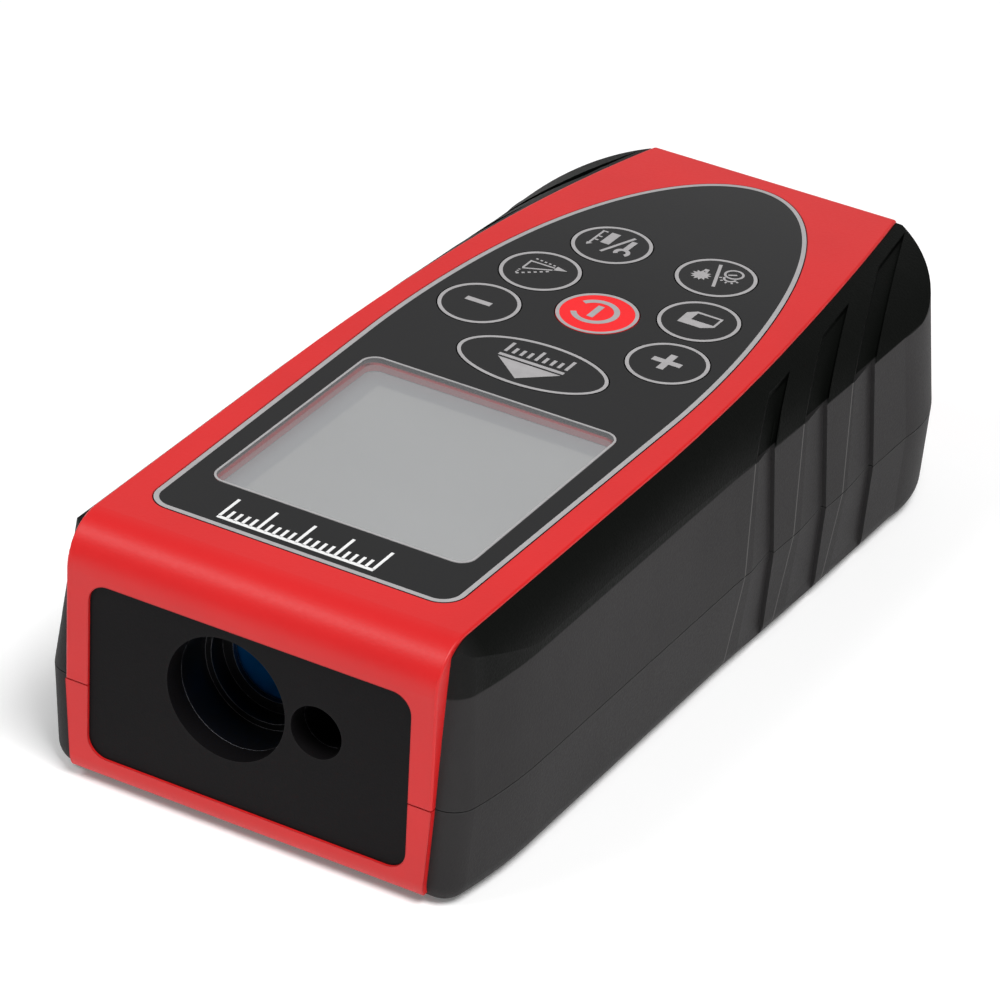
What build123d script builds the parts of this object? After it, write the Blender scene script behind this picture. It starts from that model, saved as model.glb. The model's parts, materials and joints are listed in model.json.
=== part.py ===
from build123d import *
import math
import os

# Hand-held laser distance meter, millimetres.
# Origin: centre of the bottom, on the surface it rests on.
# -Y is the laser end, +Z comes out of the display, and +X is on the right when the laser end is looked at.

# ---- overall case ----
LENGTH = 121.5
HEIGHT = 32.8
FRONT_Y = -LENGTH / 2
REAR_Y = LENGTH / 2
PARTING_Z = 12.9           # joint between the upper and lower case halves
PARTING_GAP = 0.14         # visible groove, filled by the gasket further in
SIDE_HALF = 28.6           # half-width at the parting joint
BULGE_HALF = 29.3          # half-width where the palm grip swells
CREASE_HALF = 27.3         # half-width where the side wall meets the shoulder
CREASE_Z = 26.3
CREASE_OVERLAP = 0.05      # the shoulder's arc runs this far past the side wall
BASE_HALF = 27.8           # half-width at the bottom
BASE_EDGE_RADIUS = 3.0
FRONT_TOP_RADIUS = 5.5
REAR_TOP_RADIUS = 1.2
TOP_FALL_START_Y = 20.0    # behind this the top falls gently to the rear
TOP_FALL_RADIUS = 560.0
FRONT_STEP = 4.4           # from the side back to the flat part of the front end
FRONT_CORNER_RADIUS = 3.25
FRONT_CURVE_LENGTH = 15.0  # length over which the sides curve in to the front
SET_BACK = 0.8             # how far the black sides stand behind the red front at the joint
FRONT_LEAN = 0.087         # the black front corners lean back by this share of their height
SWELL_Y = (0.0, 24.0, 42.0)
SWELL_SAG = 0.15           # the swell's middle point lies this far inside its end
REAR_CORNER_IN = 2.8
REAR_CORNER_Y = 54.2
REAR_FLAT_HALF = 17.0
SIDE_DRAFT = (SIDE_HALF - CREASE_HALF) / (CREASE_Z - PARTING_Z)

# ---- red centre strip ----
STRIP_HALF = 23.9
STRIP_BASE_HALF = 23.1     # the red frame narrows to this at the bottom
STRIP_TAPER_Y = -14.75     # the strip narrows behind this
STRIP_TAPER_RADIUS = 414.0
STRIP_RISE = 0.35          # how far the strip stands above the black shoulders
STRIP_EDGE_RADIUS = 0.3
SHOULDER_BULGE = (0.11, 0.035)   # rise of the shoulder's arc over its chord, at the front and at the rear

# ---- walls ----
GRIP_WALL = 2.3
FLOOR = 2.2
DECK_UNDERSIDE_Z = 29.6
CAVITY_HALF = 24.4
CAVITY_FRONT_Y = FRONT_Y + 3.15
CAVITY_REAR_Y = REAR_Y - 3.15

# ---- finger gills on the sides ----
GILLS = ((4.9, 9.4), (16.4, 22.1), (28.5, 34.1))   # front line and step of each at the crease
GILL_FRONT_LEAN = 0.22     # the front line moves forward by this share of the depth below the crease
GILL_STEP_LEAN = 0.05      # the same for its step, down to the parting joint
GILL_DEPTH = 0.65
GILL_BASE_DEPTH = 0.3
GILL_SLANT = 2.75          # on the shoulder a gill runs back by this much for each step inwards
GILL_POCKET_DEPTH = 0.6
GILL_STRIP_GAP = 1.6       # left between a gill's end and the strip
GILL_CUT_REACH = 3.0       # how far the cutting shape stands out of the wall

# ---- front window and optics ----
WINDOW_HALF = 20.9
WINDOW_Z = (3.87, 26.5)
WINDOW_RADIUS = 2.5
PANEL_RECESS = 0.3
PANEL_BACK_STEP = 1.75
PANEL_FLANGE = 1.2
RECEIVER_X = -2.89
LASER_X = 8.84
OPTICS_Z = 17.45
RECEIVER_RADIUS = 7.71
LASER_RADIUS = 3.29
BARREL_RADIUS = 8.05       # thin sleeve, so that it clears the laser tube beside it
BARREL_STEP_Y = FRONT_Y + 8.0
LENS_FRONT_Y = FRONT_Y + 11.0
BARREL_REAR_Y = -45.5
LENS_BORE = 6.9
LENS_VIEW = 5.5
LENS_CROWN = 0.3
TUBE_RADIUS = 3.6

# ---- display and keypad ----
LABEL_THICK = 0.8
LABEL_FRONT_Y = -51.5
LABEL_FRONT_HALF = 20.0
LABEL_HALF = 20.5
LABEL_WAIST_Y = -2.0
LABEL_REAR_Y = 57.0
LABEL_CORNER = 3.0
LABEL_GAP = 0.12
DISPLAY_HALF = 16.94
DISPLAY_Y = (-43.17, -8.54)
DISPLAY_RADIUS = 2.0
LCD_TOP_Z = 31.1
LCD_BOTTOM_Z = 28.6
LCD_HALF = 18.4
LCD_POCKET_HALF = 19.2
BACKLIGHT_BOTTOM_Z = 27.4
KEY_RADIUS = 5.0
KEY_CLEARANCE = 0.15
KEY_LIP = 0.4
KEY_POCKET = 0.55
KEY_STEM = 2.0
KEY_STEM_BOTTOM_Z = 28.1
DOME_TOP_Z = 27.7
MEASURE_HALVES = (9.77, 5.29)
ROUND_KEYS = {
    "key_minus": (-12.79, 9.41),
    "key_plus": (12.79, 9.41),
    "key_indirect": (-10.88, 20.55),
    "key_storage": (10.88, 20.55),
    "key_units": (-7.20, 31.55),
    "key_light": (7.20, 31.55),
    "key_power": (0.0, 15.28),
}
MEASURE_KEY = (0.0, 0.04)

# ---- boards ----
BOARD_HALF = 18.8
BOARD_Y = (-44.0, 45.0)
BOARD_Z = (25.4, 26.6)
BOARD_BOSSES = ((-17.0, -4.6), (17.0, -4.6), (-12.5, 41.0), (12.5, 41.0))

# ---- batteries and their door ----
CELL_RADIUS = 5.25
CELL_LENGTH = 44.5
CELL_X = 5.6
CELL_Z = 8.0
BAY_Y = (5.0, 56.0)
BAY_HALF = 11.6
BAY_ROOF_Z = 14.0
BAY_WALL = 1.2
CONTACT_THICK = 0.4
SPRING_WIRE_RADIUS = 0.35
SPRING_RADIUS = 3.6
SPRING_TURNS = 4
DOOR_HALF = 13.0
DOOR_REAR_Y = 54.6
DOOR_GAP = 0.2
DOOR_Z = (0.35, 2.05)
HINGE_Y = 3.3
HINGE_Z = 1.6
KNUCKLE_RADIUS = 1.25
PIN_RADIUS = 0.7
PIN_LENGTH = 1.3
CASE_SCREWS = ((-20.3, -46.0), (20.3, -46.0), (-20.3, 47.5), (20.3, 47.5))
SCREW_BOSS_RADIUS = 2.8
SCREW_PILLAR_RADIUS = 3.4
SCREW_SINK_RADIUS = 2.2
SCREW_HEAD_Z = (4.5, 6.4)
SCREW_TOP_Z = 19.0


# ======== shared shape helpers ========

def box(x, y, z):
    """Box from three (low, high) pairs."""
    size = (x[1] - x[0], y[1] - y[0], z[1] - z[0])
    middle = ((x[0] + x[1]) / 2, (y[0] + y[1]) / 2, (z[0] + z[1]) / 2)
    return Pos(*middle) * Box(*size)


def rounded_post(x, y, z, radius):
    """Box with its four upright edges rounded."""
    middle = Pos((x[0] + x[1]) / 2, (y[0] + y[1]) / 2, z[0])
    face = middle * RectangleRounded(x[1] - x[0], y[1] - y[0], radius)
    return extrude(face, z[1] - z[0])


def post(x, y, z, radius):
    """Upright cylinder between two heights."""
    return Pos(x, y, (z[0] + z[1]) / 2) * Cylinder(radius, z[1] - z[0])


def rod(x, y, z, radius):
    """Cylinder along Y between two y values."""
    return Pos(x, (y[0] + y[1]) / 2, z) * Rot(90, 0, 0) * Cylinder(radius, y[1] - y[0])


def cross_rod(x, y, z, radius):
    """Cylinder along X between two x values."""
    return Pos((x[0] + x[1]) / 2, y, z) * Rot(0, 90, 0) * Cylinder(radius, x[1] - x[0])


def slab(z):
    """Everything between two heights."""
    return box((-40, 40), (-80, 80), z)


def arc_half(start, middle, end, y):
    """Half-width at y on the arc through three (half-width, y) points."""
    (ax, ay), (bx, by), (cx, cy) = start, middle, end
    turn = 2 * (ax * (by - cy) + bx * (cy - ay) + cx * (ay - by))
    a2 = ax ** 2 + ay ** 2
    b2 = bx ** 2 + by ** 2
    c2 = cx ** 2 + cy ** 2
    centre_x = (a2 * (by - cy) + b2 * (cy - ay) + c2 * (ay - by)) / turn
    centre_y = (a2 * (cx - bx) + b2 * (ax - cx) + c2 * (bx - ax)) / turn
    radius = math.hypot(ax - centre_x, ay - centre_y)
    return centre_x + math.sqrt(radius ** 2 - (y - centre_y) ** 2)


def mirrored(shape):
    return shape.mirror(Plane.YZ)


def strip_half(y):
    """Half-width of the red strip, which narrows to the rear on one large arc."""
    back = max(0.0, y - STRIP_TAPER_Y)
    return STRIP_HALF - (STRIP_TAPER_RADIUS - math.sqrt(STRIP_TAPER_RADIUS ** 2 - back ** 2))


def top_z(y):
    """Height of the top surface, flat and then falling on one large arc."""
    back = max(0.0, y - TOP_FALL_START_Y)
    return HEIGHT - (TOP_FALL_RADIUS - math.sqrt(TOP_FALL_RADIUS ** 2 - back ** 2))


# ======== outer form of the case ========

def swell_points(side, bulge):
    """Three points of the arc on which the side swells to the palm grip."""
    return (side, SWELL_Y[0]), (bulge - SWELL_SAG, SWELL_Y[1]), (bulge, SWELL_Y[2])


def swell(y):
    """How far the side stands out of its straight front part."""
    if y <= SWELL_Y[0]:
        return 0.0
    return arc_half(*swell_points(SIDE_HALF, BULGE_HALF), min(y, SWELL_Y[2])) - SIDE_HALF


def plan_wire(side, bulge, front, rear, rear_flat, z):
    """Closed plan outline of the black case at one height."""
    front_flat = side - FRONT_STEP
    corner = FRONT_CORNER_RADIUS
    sweep = FRONT_CURVE_LENGTH
    radius = (FRONT_STEP ** 2 + sweep ** 2 - 2 * sweep * corner) / (2 * (FRONT_STEP - corner))
    sweep_centre = (side - radius, front + sweep)
    corner_centre = (front_flat, front + corner)
    corner_turn = math.atan2(corner_centre[1] - sweep_centre[1], corner_centre[0] - sweep_centre[0])

    def around(centre, size, angle):
        return centre[0] + size * math.cos(angle), centre[1] + size * math.sin(angle)

    half = [
        (front_flat, front),
        around(corner_centre, corner, (corner_turn - math.pi / 2) / 2),
        around(corner_centre, corner, corner_turn),
        around(sweep_centre, radius, corner_turn / 2),
        (side, front + sweep),
        *swell_points(side, bulge),
        (bulge - REAR_CORNER_IN, REAR_CORNER_Y + rear - REAR_Y),
        (rear_flat, rear),
    ]
    right = [Vector(x, y, z) for x, y in half]
    left = [Vector(-x, y, z) for x, y in half]
    edges = [
        Line(left[0], right[0]),
        ThreePointArc(right[0], right[1], right[2]),
        ThreePointArc(right[2], right[3], right[4]),
        Line(right[4], right[5]),
        ThreePointArc(right[5], right[6], right[7]),
        ThreePointArc(right[7], right[8], right[9]),
        Line(right[9], left[9]),
        ThreePointArc(left[9], left[8], left[7]),
        ThreePointArc(left[7], left[6], left[5]),
        Line(left[5], left[4]),
        ThreePointArc(left[4], left[3], left[2]),
        ThreePointArc(left[2], left[1], left[0]),
    ]
    return Wire(edges)


def drafted(low, high):
    """Ruled solid between two plan outlines."""
    return Solid.make_loft([low, high], ruled=True)


def side_profile(front, rear, drop, front_radius, rear_radius):
    """The case seen from the side, as a solid across its whole width."""
    middle_y = (TOP_FALL_START_Y + rear) / 2
    crest = Vector(0, TOP_FALL_START_Y, HEIGHT - drop)
    middle = Vector(0, middle_y, top_z(middle_y) - drop)
    tail = Vector(0, rear, top_z(rear) - drop)
    face = Face(Wire([
        Line((0, front, -5), (0, front, HEIGHT - drop)),
        Line((0, front, HEIGHT - drop), crest),
        ThreePointArc(crest, middle, tail),
        Line(tail, (0, rear, -5)),
        Line((0, rear, -5), (0, front, -5)),
    ]))
    for radius, end in ((front_radius, 0), (rear_radius, -1)):
        corner = face.vertices().filter_by(lambda v: v.Z > 20).sort_by(Axis.Y)[end]
        face = face.fillet_2d(radius, [corner])
    return extrude(face, 40, dir=(1, 0, 0), both=True)


def strip_profile():
    return side_profile(FRONT_Y, REAR_Y, 0, FRONT_TOP_RADIUS, REAR_TOP_RADIUS)


def shoulder_bulge(y):
    share = min(1.0, max(0.0, (y - STRIP_TAPER_Y) / (REAR_Y - STRIP_TAPER_Y)))
    return SHOULDER_BULGE[0] + (SHOULDER_BULGE[1] - SHOULDER_BULGE[0]) * share


def shoulder_section(y, inset):
    """What lies outside the convex shoulder at one station along the case."""
    inner = Vector(strip_half(y) - 0.4 * inset, y, top_z(y) - STRIP_RISE - inset)
    outer = Vector(CREASE_HALF + CREASE_OVERLAP + swell(y) - inset, y, CREASE_Z - 0.4 * inset)
    chord = outer - inner
    out = Vector(-chord.Z, 0, chord.X).normalized()
    middle = inner + chord * 0.5 + out * (shoulder_bulge(y) * chord.length)
    far = 45.0
    return Wire([
        ThreePointArc(inner, middle, outer),
        Line(outer, (far, y, outer.Z)),
        Line((far, y, outer.Z), (far, y, far)),
        Line((far, y, far), (inner.X, y, far)),
        Line((inner.X, y, far), inner),
    ])


def shoulder_cutter(inset):
    stations = (FRONT_Y - 2, STRIP_TAPER_Y, 0.0, 12.0, 24.0, 33.0, 42.0, 51.0, REAR_Y + 2)
    return Solid.make_loft([shoulder_section(y, inset) for y in stations], ruled=True)


def upper_form(inset):
    """Upper half of the black case: drafted sides, rounded ends and the shoulders."""
    roof = 36.0
    lean = SIDE_DRAFT * (roof - PARTING_Z)
    front = FRONT_Y + SET_BACK + inset
    back_lean = FRONT_LEAN * (roof - PARTING_Z)
    rear = REAR_Y - inset
    side = SIDE_HALF - inset
    bulge = BULGE_HALF - inset
    flat = REAR_FLAT_HALF - inset
    low = plan_wire(side, bulge, front, rear, flat, PARTING_Z)
    high = plan_wire(side - lean, bulge - lean, front + back_lean, rear, flat, roof)
    profile = side_profile(front, rear, STRIP_RISE + inset, FRONT_TOP_RADIUS, REAR_TOP_RADIUS)
    form = drafted(low, high) & profile
    cutter = shoulder_cutter(inset)
    form = form - cutter - mirrored(cutter)
    return form & slab((PARTING_Z + PARTING_GAP / 2, 40))


def lower_form():
    """Lower half of the black case, with a rounded bottom edge."""
    swell_in = BULGE_HALF - SIDE_HALF
    low = plan_wire(BASE_HALF, BASE_HALF + swell_in, FRONT_Y + SET_BACK, REAR_Y, REAR_FLAT_HALF, 0)
    high = plan_wire(SIDE_HALF, BULGE_HALF, FRONT_Y + SET_BACK, REAR_Y, REAR_FLAT_HALF, PARTING_Z)
    form = drafted(low, high)
    bottom = form.faces().sort_by(Axis.Z)[0]
    form = fillet(bottom.edges(), BASE_EDGE_RADIUS)
    return form & slab((-1, PARTING_Z - PARTING_GAP / 2))


def red_strip():
    """Solid under the red strip, with its long edges rounded."""
    strip = strip_profile() & strip_region((PARTING_Z + PARTING_GAP / 2, 40))
    edges = strip.edges().filter_by(is_strip_edge)
    return fillet(edges, STRIP_EDGE_RADIUS)


def is_strip_edge(edge):
    """True for the edges that run along the strip's sides, over the top and down the front."""
    middle = edge @ 0.5
    start = edge @ 0
    end = edge @ 1
    beside = all(abs(abs(p.X) - strip_half(p.Y)) < 0.05 for p in (start, middle, end))
    on_top = middle.Z > HEIGHT - 12 and start.Z > CREASE_Z - 8
    down_front = abs(middle.Y - FRONT_Y) < 0.01
    return beside and (on_top or down_front) and abs(middle.Y - REAR_Y) > 0.01


def strip_region(z, grow=0.0):
    """Upright prism over the red strip."""
    rear = REAR_Y + 2
    middle = (STRIP_TAPER_Y + rear) / 2
    right = [
        Vector(STRIP_HALF + grow, FRONT_Y - 2),
        Vector(STRIP_HALF + grow, STRIP_TAPER_Y),
        Vector(strip_half(middle) + grow, middle),
        Vector(strip_half(rear) + grow, rear),
    ]
    left = [Vector(-p.X, p.Y) for p in right]
    outline = Wire([
        Line(left[0], right[0]),
        Line(right[0], right[1]),
        ThreePointArc(right[1], right[2], right[3]),
        Line(right[3], left[3]),
        ThreePointArc(left[3], left[2], left[1]),
        Line(left[1], left[0]),
    ])
    return Pos(0, 0, z[0]) * extrude(Face(outline), z[1] - z[0])


def cavity_section(y, half, roof):
    """Inside space of the case at one station along it."""
    top_half = min(half - 1.0, strip_half(y) - 3.2)
    right = [(half, FLOOR), (half, 22.5), (top_half, roof)]
    left = [(-x, z) for x, z in reversed(right)]
    points = [Vector(x, y, z) for x, z in right + left]
    return Wire.make_polygon(points, close=True)


def cavity():
    sections = [
        cavity_section(CAVITY_FRONT_Y, 21.8, DECK_UNDERSIDE_Z - 1.2),
        cavity_section(-50.0, CAVITY_HALF, DECK_UNDERSIDE_Z),
        cavity_section(STRIP_TAPER_Y, CAVITY_HALF, DECK_UNDERSIDE_Z),
        cavity_section(20.0, CAVITY_HALF, DECK_UNDERSIDE_Z),
        cavity_section(49.0, CAVITY_HALF, DECK_UNDERSIDE_Z - 0.6),
        cavity_section(CAVITY_REAR_Y, 20.0, DECK_UNDERSIDE_Z - 2.0),
    ]
    return Solid.make_loft(sections, ruled=True)


# ======== finger gills ========

def gill_section(half, front_y, step_y, depth, z):
    """Plan section of one gill: a ramp that leans in from its front line to its step."""
    out = half + GILL_CUT_REACH
    points = [(half + 0.02, front_y), (half - depth, step_y), (out, step_y), (out, front_y)]
    return Wire.make_polygon([Vector(px, py, z) for px, py in points], close=True)


def gill_wall_cutter(front_y, step_y):
    """The ramp on the upright wall, carried on inwards and back a little above the crease."""
    over = 3.0
    inward = 0.45 * over
    back = inward * GILL_SLANT
    sections = []
    for z, half, depth in (
        (-1.0, BASE_HALF, GILL_BASE_DEPTH),
        (BASE_EDGE_RADIUS, BASE_HALF + 0.2, GILL_DEPTH),
        (PARTING_Z, SIDE_HALF, GILL_DEPTH),
        (CREASE_Z, CREASE_HALF, GILL_DEPTH),
    ):
        first = front_y - GILL_FRONT_LEAN * (CREASE_Z - z)
        last = step_y - GILL_STEP_LEAN * (CREASE_Z - max(z, PARTING_Z))
        sections.append(gill_section(half + swell(last), first, last, depth, z))
    shoulder_half = CREASE_HALF + swell(step_y) - inward
    first = front_y + back
    last = step_y + back
    sections.append(gill_section(shoulder_half, first, last, GILL_POCKET_DEPTH, CREASE_Z + over))
    cutter = Solid.make_loft(sections[:2], ruled=True)
    for low, high in zip(sections[1:], sections[2:]):
        cutter = cutter + Solid.make_loft([low, high], ruled=True)
    return cutter


def gill_outline_point(y, offset):
    """Where a gill's slanting side that starts at y on the crease comes near the strip."""
    start = CREASE_HALF + swell(y)
    step_in = 0.0
    for _ in range(20):
        step_in = start - strip_half(y + GILL_SLANT * step_in) - offset
    return start - step_in, y + GILL_SLANT * step_in


def gill_pocket_cutter(front_y, step_y):
    """Shallow pocket that carries the gill over the shoulder, slanting back to the strip."""
    out = 1.2
    corners = [
        (CREASE_HALF + swell(front_y) + out, front_y - GILL_SLANT * out),
        gill_outline_point(front_y, GILL_STRIP_GAP),
        gill_outline_point(step_y, GILL_STRIP_GAP),
        (CREASE_HALF + swell(step_y) + out, step_y - GILL_SLANT * out),
    ]
    outline = Wire.make_polygon([Vector(px, py, 0) for px, py in corners], close=True)
    prism = Pos(0, 0, CREASE_Z) * extrude(Face(outline), 10, dir=(0, 0, 1))
    return prism - upper_form(GILL_POCKET_DEPTH)


def gill_cutters():
    cutters = []
    for front_y, step_y in GILLS:
        cutters.append(gill_wall_cutter(front_y, step_y))
        cutters.append(gill_pocket_cutter(front_y, step_y))
    return cutters


def cut_gills(shape, left=True, right=True):
    for cutter in gill_cutters():
        if right:
            shape = shape - cutter
        if left:
            shape = shape - mirrored(cutter)
    return shape


# ======== front window ========

def window_opening(grow, y):
    """Rounded front opening between two depths behind the front face."""
    width = 2 * (WINDOW_HALF + grow)
    tall = WINDOW_Z[1] - WINDOW_Z[0] + 2 * grow
    middle = (WINDOW_Z[0] + WINDOW_Z[1]) / 2
    face = RectangleRounded(width, tall, WINDOW_RADIUS + grow)
    placed = Plane(origin=(0, y[0], middle), x_dir=(1, 0, 0), z_dir=(0, 1, 0)) * face
    return extrude(placed, y[1] - y[0], dir=(0, 1, 0))


def front_pocket():
    """Opening in the red frame, with the wider seat of the panel behind it."""
    opening = window_opening(0, (FRONT_Y - 1, FRONT_Y + PANEL_BACK_STEP))
    seat = window_opening(PANEL_FLANGE, (FRONT_Y + PANEL_BACK_STEP, CAVITY_FRONT_Y + 0.2))
    return opening + seat


def front_panel():
    plug = window_opening(-0.05, (FRONT_Y + PANEL_RECESS, FRONT_Y + PANEL_BACK_STEP))
    flange = window_opening(PANEL_FLANGE - 0.05, (FRONT_Y + PANEL_BACK_STEP, CAVITY_FRONT_Y))
    panel = plug + flange
    panel = panel - rod(RECEIVER_X, (FRONT_Y - 1, FRONT_Y + 5), OPTICS_Z, RECEIVER_RADIUS)
    return panel - rod(LASER_X, (FRONT_Y - 1, FRONT_Y + 5), OPTICS_Z, LASER_RADIUS)


# ======== keypad and display outlines ========

def label_prism(grow, z):
    """Outline of the keypad label: straight sides, half an ellipse at the rear."""
    half = LABEL_HALF + grow
    front_half = LABEL_FRONT_HALF + grow
    front = LABEL_FRONT_Y - grow
    corner = LABEL_CORNER + grow
    rear_length = LABEL_REAR_Y - LABEL_WAIST_Y + grow
    cut = corner * (1 - math.sqrt(0.5))
    outline = Wire([
        Line((-(front_half - corner), front), (front_half - corner, front)),
        ThreePointArc((front_half - corner, front), (front_half - cut, front + cut),
                      (front_half, front + corner)),
        Line((front_half, front + corner), (half, LABEL_WAIST_Y)),
        EllipticalCenterArc((0, LABEL_WAIST_Y), half, rear_length, start_angle=0, arc_size=180),
        Line((-half, LABEL_WAIST_Y), (-front_half, front + corner)),
        ThreePointArc((-front_half, front + corner), (-(front_half - cut), front + cut),
                      (-(front_half - corner), front)),
    ])
    return Pos(0, 0, z[0]) * extrude(Face(outline), z[1] - z[0])


def top_layer(depth):
    """Skin of the given thickness under the top surface."""
    form = strip_profile()
    return form - Pos(0, 0, -depth) * form


def key_prism(name, grow, z):
    """Upright prism over a key's outline."""
    if name == "key_measure":
        x, y = MEASURE_KEY
        face = Ellipse(MEASURE_HALVES[0] + grow, MEASURE_HALVES[1] + grow)
    else:
        x, y = ROUND_KEYS[name]
        face = Circle(KEY_RADIUS + grow)
    return Pos(x, y, z[0]) * extrude(face, z[1] - z[0])


def key_centre(name):
    return MEASURE_KEY if name == "key_measure" else ROUND_KEYS[name]


def key_seat_z(name):
    """Underside of the label at the lower edge of a key."""
    y = key_centre(name)[1]
    return top_z(y + KEY_RADIUS + KEY_CLEARANCE) - LABEL_THICK


KEY_NAMES = list(ROUND_KEYS) + ["key_measure"]


def display_prism(grow, z):
    return rounded_post((-DISPLAY_HALF - grow, DISPLAY_HALF + grow),
                        (DISPLAY_Y[0] - grow, DISPLAY_Y[1] + grow), z, DISPLAY_RADIUS + grow)


# ======== case pieces ========

def top_shell():
    shell = red_strip() + upper_form(GRIP_WALL)
    inside = cavity()
    shell = shell - inside
    for x, y in CASE_SCREWS:
        boss = post(x, y, (PARTING_Z + PARTING_GAP / 2, DECK_UNDERSIDE_Z), SCREW_BOSS_RADIUS)
        shell = shell + (boss & inside)
        shell = shell - post(x, y, (0, SCREW_TOP_Z + 1), 1.0)
    for x, y in BOARD_BOSSES:
        shell = shell + post(x, y, (BOARD_Z[1], DECK_UNDERSIDE_Z + 0.4), 1.9)
        shell = shell - post(x, y, (BOARD_Z[1] - 1, DECK_UNDERSIDE_Z), 0.8)
    shell = shell - front_pocket()
    shell = shell - (label_prism(LABEL_GAP, (20, 40)) - Pos(0, 0, -LABEL_THICK) * strip_profile())
    shell = shell - display_prism(-0.5, (20, 40))
    shell = shell - box((-LCD_POCKET_HALF, LCD_POCKET_HALF), (DISPLAY_Y[0] - 2.3, DISPLAY_Y[1] + 2.3),
                        (DECK_UNDERSIDE_Z - 2, LCD_TOP_Z + 0.1))
    for name in KEY_NAMES:
        seat = key_seat_z(name)
        x, y = key_centre(name)
        shell = shell - key_prism(name, KEY_POCKET, (seat - 1.05, 34))
        shell = shell - post(x, y, (20, 34), KEY_STEM + 0.25)
    return shell


def grip(side):
    form = upper_form(0) - strip_region((0, 40)) - upper_form(GRIP_WALL)
    half_space = box((0, 60), (-90, 90), (0, 60)) if side > 0 else box((-60, 0), (-90, 90), (0, 60))
    form = form & half_space
    return cut_gills(form, left=side < 0, right=side > 0)


def trim_region():
    """Where the red frame continues on the lower half, down to just above the base."""
    low_z = 1.5
    depth = 2.6
    taper = (STRIP_HALF - STRIP_BASE_HALF) / PARTING_Z
    foot = STRIP_BASE_HALF + taper * low_z
    top = PARTING_Z - PARTING_GAP / 2
    corners = [(-foot, low_z), (foot, low_z), (STRIP_HALF, top), (-STRIP_HALF, top)]
    outline = Wire.make_polygon([Vector(x, FRONT_Y, z) for x, z in corners], close=True)
    return extrude(Face(outline), depth, dir=(0, 1, 0))


def front_lower_trim():
    """Lower part of the red frame, with the rounded bottom edge of the case."""
    trim = trim_region()
    edge = box((-30, 30), (FRONT_Y, FRONT_Y + 10), (0, 20))
    edge = fillet(edge.edges().filter_by(Axis.X).sort_by(Axis.Z)[:2].sort_by(Axis.Y)[0], BASE_EDGE_RADIUS)
    return (trim & edge) - front_pocket()


def bottom_shell():
    shell = lower_form() - trim_region()
    shell = shell - (cavity() & slab((-1, PARTING_Z)))
    shell = shell - front_pocket()
    bay = box((-BAY_HALF - BAY_WALL, BAY_HALF + BAY_WALL), (BAY_Y[0] - BAY_WALL, BAY_Y[1] + BAY_WALL),
              (0.8, BAY_ROOF_Z + BAY_WALL))
    shell = shell + bay
    shell = shell - box((-BAY_HALF, BAY_HALF), BAY_Y, (-1, BAY_ROOF_Z))
    shell = shell - box((-DOOR_HALF - DOOR_GAP, DOOR_HALF + DOOR_GAP),
                        (HINGE_Y - KNUCKLE_RADIUS - DOOR_GAP, DOOR_REAR_Y + DOOR_GAP), (-1, FLOOR + 0.05))
    shell = shell - cross_rod((-DOOR_HALF - DOOR_GAP, DOOR_HALF + DOOR_GAP), HINGE_Y, HINGE_Z,
                              KNUCKLE_RADIUS + DOOR_GAP)
    pin_reach = DOOR_HALF + PIN_LENGTH + 0.2
    shell = shell - cross_rod((-pin_reach, pin_reach), HINGE_Y, HINGE_Z, PIN_RADIUS + 0.08)
    shell = shell - box((-4, 4), (DOOR_REAR_Y, DOOR_REAR_Y + 2.2), (-1, 0.9))
    for x, y in CASE_SCREWS:
        shell = shell + post(x, y, (0.8, PARTING_Z - PARTING_GAP / 2), SCREW_PILLAR_RADIUS)
        shell = shell - post(x, y, (-1, SCREW_HEAD_Z[1] + 0.1), SCREW_SINK_RADIUS)
        shell = shell - post(x, y, (5, 20), 1.25)
    return cut_gills(shell)


def case_gasket():
    """Thin seal in the joint, set back from the outside."""
    rings = []
    for inset in (1.7, 3.2):
        outline = plan_wire(SIDE_HALF - inset, BULGE_HALF - inset, FRONT_Y + inset, REAR_Y - inset,
                            REAR_FLAT_HALF - inset, PARTING_Z - PARTING_GAP / 2)
        rings.append(extrude(Face(outline), PARTING_GAP))
    return rings[0] - rings[1] - front_pocket()


def case_screws():
    screws = []
    for x, y in CASE_SCREWS:
        head = post(x, y, SCREW_HEAD_Z, SCREW_SINK_RADIUS - 0.2)
        shank = post(x, y, (SCREW_HEAD_Z[1], SCREW_TOP_Z), 0.95)
        slot = box((x - 1.3, x + 1.3), (y - 0.25, y + 0.25), (SCREW_HEAD_Z[0] - 0.1, SCREW_HEAD_Z[0] + 0.7))
        screws.append(head + shank - slot - slot.rotate(Axis((x, y, 0), (0, 0, 1)), 90))
    return Compound(screws)


# ======== optics ========

def receiver_barrel():
    barrel = rod(RECEIVER_X, (CAVITY_FRONT_Y, BARREL_REAR_Y), OPTICS_Z, BARREL_RADIUS)
    barrel = barrel - rod(RECEIVER_X, (CAVITY_FRONT_Y - 1, BARREL_STEP_Y), OPTICS_Z, RECEIVER_RADIUS)
    return barrel - rod(RECEIVER_X, (BARREL_STEP_Y - 1, BARREL_REAR_Y + 1), OPTICS_Z, LENS_BORE)


def lens_retaining_ring():
    ring = rod(RECEIVER_X, (LENS_FRONT_Y - 0.7, LENS_FRONT_Y), OPTICS_Z, LENS_BORE - 0.02)
    return ring - rod(RECEIVER_X, (LENS_FRONT_Y - 2, LENS_FRONT_Y + 2), OPTICS_Z, LENS_VIEW)


def plano_convex(x, y_front, radius, thick, crown):
    """Lens along Y with its crown towards the front."""
    ball_radius = (radius ** 2 + crown ** 2) / (2 * crown)
    disc = rod(x, (y_front, y_front + thick), OPTICS_Z, radius)
    ball = Pos(x, y_front + ball_radius, OPTICS_Z) * Sphere(ball_radius)
    return disc & ball


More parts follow.
